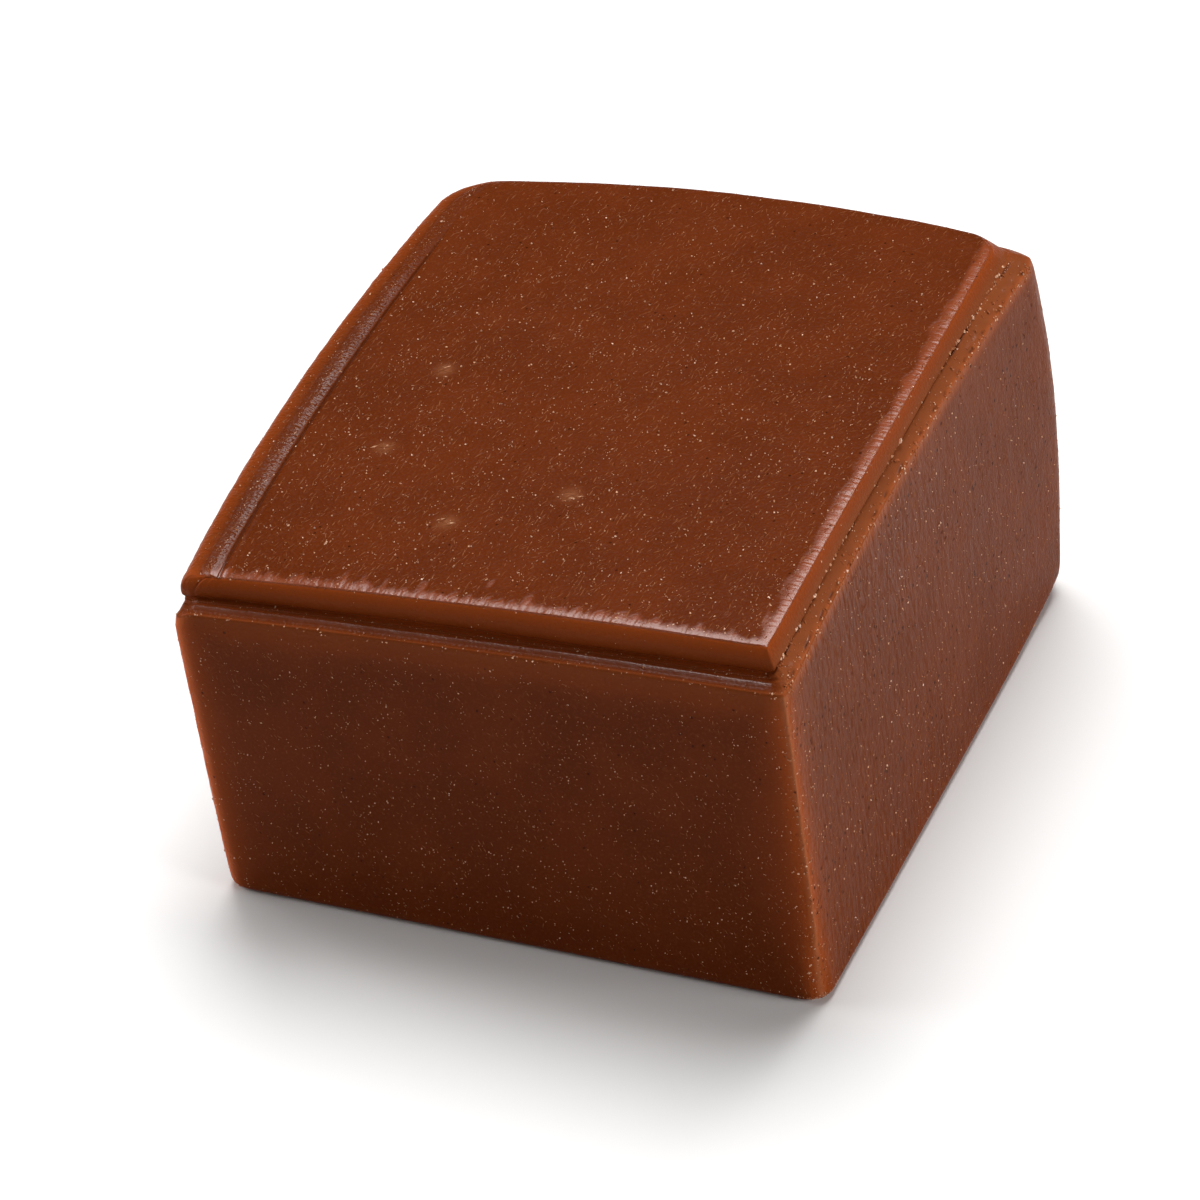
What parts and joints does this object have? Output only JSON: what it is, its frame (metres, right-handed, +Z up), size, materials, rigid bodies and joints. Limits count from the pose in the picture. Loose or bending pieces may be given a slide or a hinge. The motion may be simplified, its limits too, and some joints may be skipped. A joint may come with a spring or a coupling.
{
  "type": "fudge piece",
  "caption": "Hand-cut block of chocolate fudge with rounded edges, leaning walls and a slab scored off round its top by a shallow groove.",
  "frame": {"origin": "on the surface the piece rests on, under the middle of its bounding box", "axes": "+Z up, +X to the right along the front wall, +Y to the back"},
  "size_m": [0.0278, 0.0318, 0.0173],
  "materials": {
    "fudge": "soft satin cooked-sugar surface, fine grained, with small sugar crystals and pits"
  },
  "bodies": {
    "root": {"fudge": "fudge"}
  },
  "joints": []
}
